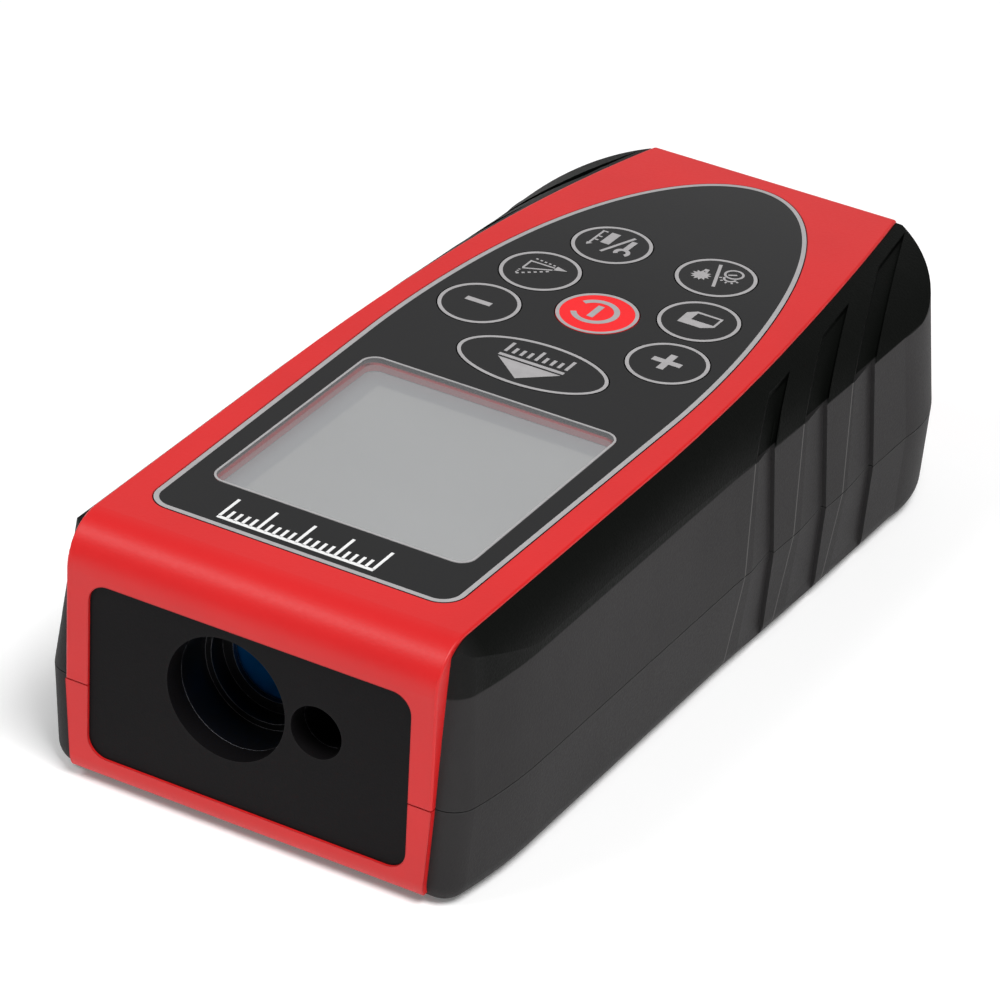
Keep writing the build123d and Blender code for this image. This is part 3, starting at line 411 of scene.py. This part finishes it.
def keypad_materials():
    return {
        "label_film": surface("label_film", FILM_DARK, **FILM),
        "key_dark": surface("key_dark", FILM_DARK, **FILM),
        "key_red": surface("key_red", (0.86, 0.008, 0.012), **FILM),
        "ink_grey": surface("ink_grey", (0.37, 0.36, 0.365), mottle=0.06, **PRINT),
        "ink_white": surface("ink_white", (0.8, 0.8, 0.8), mottle=0.04, **PRINT),
    }


def make_materials():
    return {**case_materials(), **optics_materials(), **electronics_materials(), **display_materials(),
            **keypad_materials()}


def dress_nodes(materials):
    for part in frame["record"]["subparts"]:
        node = NODES[part["node"]]
        node.data.materials.clear()
        node.data.materials.append(materials[part["material_slot"]])


# ---------- printed marks ----------

INK = 0.03 * MM               # a printed mark stands out by this and is sunk by as much
SEARCH_Z = 0.1                # the ink's level is looked for from here downwards


def height_finder(names):
    """Gives the top of these CAD nodes at a point, so that ink lies on the real surface."""
    trees = []
    for name in names:
        mesh = NODES[name].data
        points = [v.co.copy() for v in mesh.vertices]
        faces = [tuple(p.vertices) for p in mesh.polygons]
        trees.append(BVHTree.FromPolygons(points, faces))

    def height(x, y):
        hits = [tree.ray_cast(Vector((x, y, SEARCH_Z)), Vector((0, 0, -1))) for tree in trees]
        tops = [hit[0].z for hit in hits if hit[0] is not None]
        return max(tops) if tops else None
    return height


def cap_faces(loops, flat, start):
    """Triangles of a shape's top, and the same ones turned over for its underside."""
    faces = []
    under = start + len(flat)
    for a, b, c in tessellate_polygon([[Vector((x, y, 0)) for x, y in loop] for loop in loops]):
        (ax, ay), (bx, by), (cx, cy) = flat[a], flat[b], flat[c]
        if (bx - ax) * (cy - ay) - (by - ay) * (cx - ax) < 0:
            b, c = c, b
        faces.append((start + a, start + b, start + c))
        faces.append((under + c, under + b, under + a))
    return faces


def is_anticlockwise(loop):
    """Whether a loop goes round anticlockwise, seen from above."""
    following = loop[1:] + loop[:1]
    return sum(x1 * y2 - x2 * y1 for (x1, y1), (x2, y2) in zip(loop, following)) > 0


def wall_faces(loops, start, count):
    """Walls between a shape's top and its underside, which lies count points further on."""
    faces = []
    for loop in loops:
        size = len(loop)
        forward = is_anticlockwise(loop) == (loop is loops[0])
        for i in range(size):
            a, b = start + i, start + (i + 1) % size
            wall = (a, a + count, b + count, b) if forward else (b, b + count, a + count, a)
            faces.append(wall)
        start += size
    return faces


def ink_mesh(name, shapes, height, body, material):
    """Thin closed relief. Every shape is a list of loops: an outline, then its holes.

    Where nothing lies under a point, it takes the level of the point before it.
    """
    points, faces = [], []
    level = 0.0
    for loops in shapes:
        start = len(points)
        flat = [point for loop in loops for point in loop]
        levels = []
        for x, y in flat:
            found = height(x, y)
            level = level if found is None else found
            levels.append(level)
        points += [(x, y, z + INK) for (x, y), z in zip(flat, levels)]
        points += [(x, y, z - INK) for (x, y), z in zip(flat, levels)]
        faces += cap_faces(loops, flat, start)
        faces += wall_faces(loops, start, len(flat))
    mesh = bpy.data.meshes.new(name)
    mesh.from_pydata(points, [], faces)
    mesh.validate()
    mesh.materials.append(material)
    piece = bpy.data.objects.new(name, mesh)
    bpy.context.scene.collection.objects.link(piece)
    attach(piece, body)


# ---------- outlines and strokes ----------

def ellipse(x, y, rx, ry, count=96, start=0.0, turn=360.0):
    """Whole ellipse, or a stretch of one with both its ends."""
    steps = count if abs(turn) >= 360 else count + 1
    return [(x + rx * math.cos(math.radians(start + turn * i / count)),
             y + ry * math.sin(math.radians(start + turn * i / count))) for i in range(steps)]


def bar(x1, y1, x2, y2, width):
    """Straight stroke as one loop."""
    length = math.hypot(x2 - x1, y2 - y1)
    dx, dy = (x2 - x1) / length, (y2 - y1) / length
    nx, ny = -dy * width / 2, dx * width / 2
    return [(x1 + nx, y1 + ny), (x2 + nx, y2 + ny), (x2 - nx, y2 - ny), (x1 - nx, y1 - ny)]


def arc_band(x, y, radius, width, start, turn, count=40):
    """Curved stroke as one loop."""
    outside = ellipse(x, y, radius + width / 2, radius + width / 2, count, start, turn)
    inside = ellipse(x, y, radius - width / 2, radius - width / 2, count, start, turn)
    return outside + inside[::-1]


def dotted(start, end, count, width):
    """Row of short strokes between two points."""
    u, v = start
    reach_u, reach_v = end[0] - u, end[1] - v
    strokes = []
    for i in range(count):
        first, last = i / count, (i + 0.5) / count
        strokes.append([bar(u + reach_u * first, v + reach_v * first,
                            u + reach_u * last, v + reach_v * last, width)])
    return strokes


def star(u, v, inner, outer, rays):
    return [(u + (outer if i % 2 else inner) * math.cos(math.pi * i / rays),
             v + (outer if i % 2 else inner) * math.sin(math.pi * i / rays)) for i in range(2 * rays)]


def ruler_ticks(start, pitch, count, top, tall, short, width, every):
    """Ticks of a scale that hang from one line; every so many, a tall one."""
    ticks = []
    for i in range(count):
        u = start + i * pitch
        ticks.append([bar(u, top, u, top - (short if i % every else tall), width)])
    return ticks


def rounded_rectangle(low, high, inset, corner):
    x0, y0, x1, y1 = low.x + inset, low.y + inset, high.x - inset, high.y - inset
    r = corner - inset
    centres = ((x1 - r, y0 + r), (x1 - r, y1 - r), (x0 + r, y1 - r), (x0 + r, y0 + r))
    loop = []
    for quarter, (x, y) in enumerate(centres):
        loop += ellipse(x, y, r, r, 8, 90 * (quarter - 1), 90)
    return loop


# ---------- icons ----------

# Icons are drawn in millimetres from the key's middle, for a user who holds the meter with the laser
# pointing away: u runs to the right and v towards the laser end.

def icon_minus():
    return [[bar(-1.4, -0.35, 2.0, -0.35, 0.85)]]


def icon_plus():
    middle_u, middle_v, arm, half = 0.22, -0.27, 1.9, 0.45
    quarter = [(half, half), (half, arm), (-half, arm)]
    cross = []
    for turn in range(4):
        angle = math.radians(90 * turn)
        for u, v in quarter:
            cross.append((middle_u + u * math.cos(angle) - v * math.sin(angle),
                          middle_v + u * math.sin(angle) + v * math.cos(angle)))
    return [[cross]]


def icon_power():
    return [[arc_band(0.4, -0.22, 2.6, 0.72, 30, 300)], [bar(0.4, -1.8, 0.4, 1.2, 0.82)]]


def icon_storage():
    """Box seen from one corner, with an open front."""
    outside = [(-2.25, -2.0), (1.25, -2.08), (2.28, -1.15), (2.22, 1.35), (-0.88, 1.35), (-2.25, 0.35)]
    front = [(-1.95, -1.7), (1.05, -1.7), (1.05, 0.05), (-1.95, 0.05)]
    return [[outside, front[::-1]]]


def icon_indirect():
    """Sighting triangle with a second, dotted one around it."""
    eye = (-2.75, -1.7)
    shapes = [[[eye, (-1.2, -2.15), (-1.2, -1.05)]]]
    shapes.append([bar(-1.1, -1.0, 2.2, 0.55, 0.26)])
    shapes.append([bar(-1.1, -1.62, 2.05, -1.62, 0.26)])
    shapes.append([bar(2.2, -1.75, 2.2, 0.4, 0.26)])
    shapes += dotted((-0.9, -0.45), (2.5, 2.35), 6, 0.3)
    shapes += dotted((2.3, 1.95), (2.3, 0.75), 3, 0.26)
    shapes += dotted((-0.9, -2.1), (2.3, -2.5), 5, 0.26)
    return shapes


def icon_units():
    """Spanner, slash and the meter beside a measured edge."""
    shapes = [[bar(-1.5, -3.2, 0.4, 2.2, 0.4)]]
    shapes.append([bar(-1.95, 0.25, -1.95, -2.3, 0.72)])
    shapes.append([arc_band(-1.95, 1.1, 0.78, 0.55, 140, 260, 20)])
    shapes.append([bar(1.0, -2.95, 1.0, 0.15, 1.2)])
    shapes.append([bar(2.68, -2.9, 2.68, 0.9, 0.28)])
    shapes.append([[(2.2, 0.95), (3.0, 0.95), (2.75, 1.6)]])
    for v in (-2.75, -1.2, -0.2):
        shapes.append([bar(2.05, v, 2.5, v, 0.28)])
    return shapes


def icon_light():
    """Lamp, stroke and the timer: a clock face with a rayed arc on its laser side."""
    shapes = [[bar(-0.8, 2.25, 1.15, -3.35, 0.42)]]
    shapes.append([star(1.85, 0.45, 0.85, 1.3, 12)])
    shapes.append([bar(1.85, -0.65, 1.85, -1.3, 0.6)])
    clock_u, clock_v = -1.43, -1.95
    face = ellipse(clock_u, clock_v, 1.25, 1.25, 40)
    shapes.append([face, ellipse(clock_u, clock_v, 0.95, 0.95, 40)[::-1]])
    shapes.append([bar(clock_u - 0.35, clock_v - 0.1, clock_u + 0.55, clock_v + 0.5, 0.3)])
    arc_u, arc_v = clock_u - 0.1, -0.75
    shapes.append([arc_band(arc_u, arc_v, 0.75, 0.3, 0, 180, 16)])
    near, far = 1.0, 1.35
    for step in range(5):
        angle = math.radians(18 + 36 * step)
        u, v = math.cos(angle), math.sin(angle)
        shapes.append([bar(arc_u + near * u, arc_v + near * v, arc_u + far * u, arc_v + far * v, 0.24)])
    return shapes


def icon_measure():
    """Triangle that points to the laser's end, over a line and a short scale."""
    shapes = [[[(0.1, 3.95), (-3.95, 0.42), (4.4, 0.42)]]]
    shapes.append([bar(-4.1, -0.2, 4.65, -0.2, 0.55)])
    return shapes + ruler_ticks(start=-3.85, pitch=1.02, count=9, top=-1.05, tall=2.3, short=1.35,
                                width=0.42, every=4)


ICONS = {
    "key_minus": icon_minus, "key_plus": icon_plus, "key_power": icon_power, "key_storage": icon_storage,
    "key_indirect": icon_indirect, "key_units": icon_units, "key_light": icon_light,
    "key_measure": icon_measure,
}


def on_case(shapes, centre):
    """Turns an icon's millimetres into metres on the meter, around a centre."""
    return [[[(centre.x - u * MM, centre.y - v * MM) for u, v in loop] for loop in loops] for loops in shapes]


# ---------- prints on the keys and the label ----------

KEY_LIP = 0.4 * MM            # hidden lip around a key's cap
RING_INSET = 0.02 * MM
RING_WIDTH = 0.47 * MM
LABEL_INSET = 0.03 * MM
LABEL_LINE = 0.64 * MM
LABEL_TAPER = 0.5 * MM        # the label is narrower by this on each side at its front
LABEL_WAIST_Y = -2.0 * MM     # behind this it is half an ellipse
LABEL_CORNER = 3.0 * MM
LABEL_SIDE_STEPS = 20
DISPLAY_INSET = 0.01 * MM
DISPLAY_LINE = 0.28 * MM
DISPLAY_CORNER = 2.0 * MM
SCALE_X = -1.2 * MM


def make_key_prints(materials):
    for name in KEYS:
        low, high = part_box(name)
        centre = (low + high) / 2
        rx, ry = (high.x - low.x) / 2 - KEY_LIP, (high.y - low.y) / 2 - KEY_LIP
        outer = ellipse(centre.x, centre.y, rx - RING_INSET, ry - RING_INSET)
        inner = ellipse(centre.x, centre.y, rx - RING_WIDTH, ry - RING_WIDTH)
        height = height_finder([name])
        ink_mesh("ring_" + name, [[outer, inner[::-1]]], height, name, materials["ink_grey"])
        shapes = on_case(ICONS[name](), centre)
        ink_mesh("icon_" + name, shapes, height, name, materials["ink_grey"])


def label_outline(inset):
    """Label outline a little inside its own edge: straight sides, half an ellipse at the rear."""
    low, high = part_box("keypad_overlay")
    half = high.x - inset
    front_half = half - LABEL_TAPER
    corner = LABEL_CORNER - inset
    corner_y = low.y + inset + corner
    rear = high.y - inset - LABEL_WAIST_Y
    right = ellipse(front_half - corner, corner_y, corner, corner, 12, -90, 90)
    for i in range(1, LABEL_SIDE_STEPS):
        share = i / LABEL_SIDE_STEPS
        y = corner_y + (LABEL_WAIST_Y - corner_y) * share
        right.append((front_half + (half - front_half) * share, y))
    right += ellipse(0.0, LABEL_WAIST_Y, half, rear, 64, 0, 90)[:-1]
    left = [(-x, y) for x, y in reversed(right)]
    return right + [(0.0, LABEL_WAIST_Y + rear)] + left


def make_scale_mark(materials, height):
    """Plain white scale between the display and the laser end."""
    middle_y = (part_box("keypad_overlay")[0].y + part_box("display_window")[0].y) / 2
    shapes = [[bar(-10.15, 2.35, 10.15, 2.35, 0.5)]]
    shapes += ruler_ticks(start=-10.0, pitch=1.0, count=21, top=2.2, tall=4.2, short=1.7, width=0.38,
                          every=5)
    shapes = on_case(shapes, Vector((SCALE_X, middle_y, 0)))
    ink_mesh("scale_mark", shapes, height, "case", materials["ink_white"])


def make_case_prints(materials):
    height = height_finder(["keypad_overlay", "display_window"])
    ink = materials["ink_grey"]
    outer = label_outline(LABEL_INSET)
    inner = label_outline(LABEL_LINE)
    ink_mesh("label_outline", [[outer, inner[::-1]]], height, "case", ink)
    low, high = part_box("display_window")
    outer = rounded_rectangle(low, high, DISPLAY_INSET, DISPLAY_CORNER)
    inner = rounded_rectangle(low, high, DISPLAY_LINE, DISPLAY_CORNER)
    ink_mesh("display_outline", [[outer, inner[::-1]]], height, "case", ink)
    make_scale_mark(materials, height)


# ---------- build ----------

make_camera()
make_studio()
MATERIALS = make_materials()
dress_nodes(MATERIALS)
make_key_prints(MATERIALS)
make_case_prints(MATERIALS)
